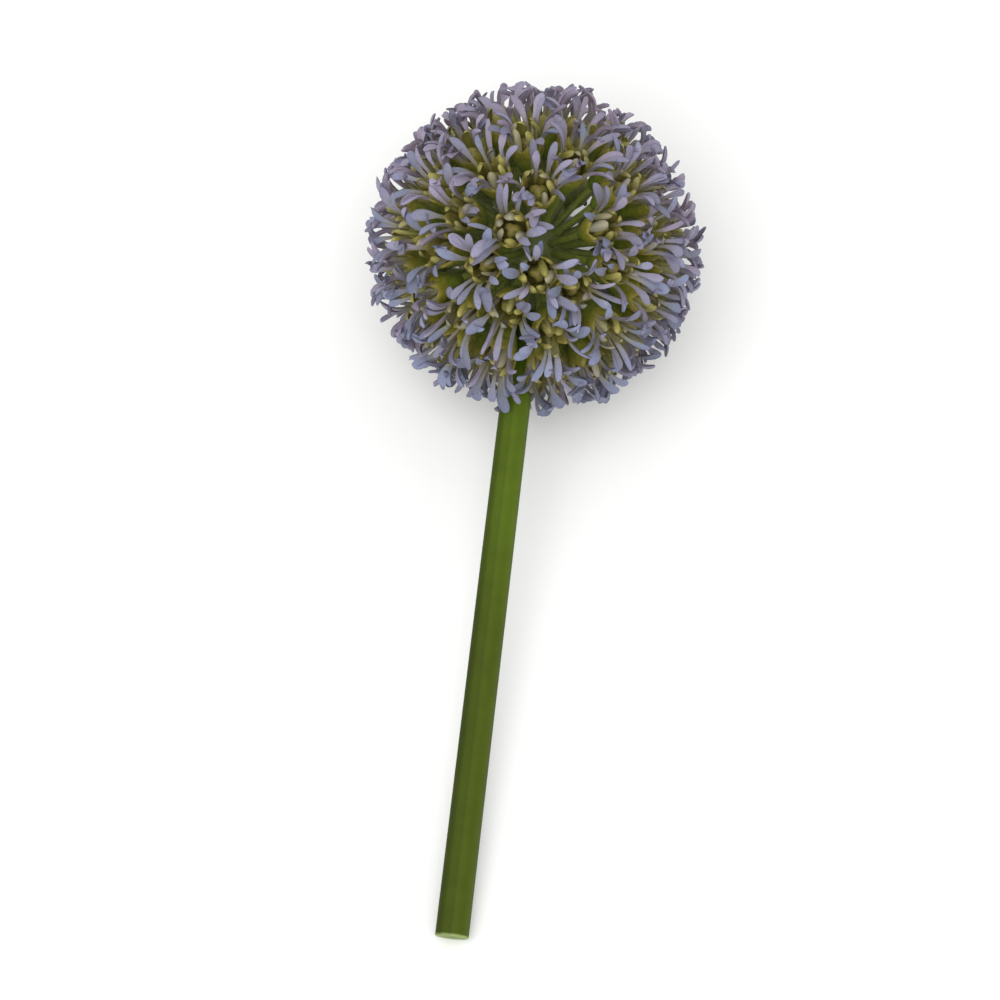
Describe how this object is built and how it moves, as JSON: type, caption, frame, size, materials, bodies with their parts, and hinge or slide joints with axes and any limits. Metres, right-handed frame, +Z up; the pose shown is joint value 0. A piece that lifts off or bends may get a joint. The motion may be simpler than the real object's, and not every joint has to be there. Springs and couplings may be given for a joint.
{
  "type": "allium flower head",
  "caption": "Round allium flower head of narrow-petalled cup florets on radiating stalks, picked with a straight length of stem and lying on a surface.",
  "frame": {"origin": "on the surface that the flower lies on, under the middle of the whole flower", "axes": "+Z up, +Y from the cut end of the stem towards the flower head, +X across the stem"},
  "size_m": [0.0951, 0.2407, 0.0916],
  "materials": {
    "florets": "satin, olive green deep in each cup and lavender blue at the petal tips",
    "stalks": "satin dark green",
    "stem": "satin mid green with fine lengthwise ribs"
  },
  "bodies": {
    "root": {"flower_head": "florets", "stem": "stem"}
  },
  "joints": []
}
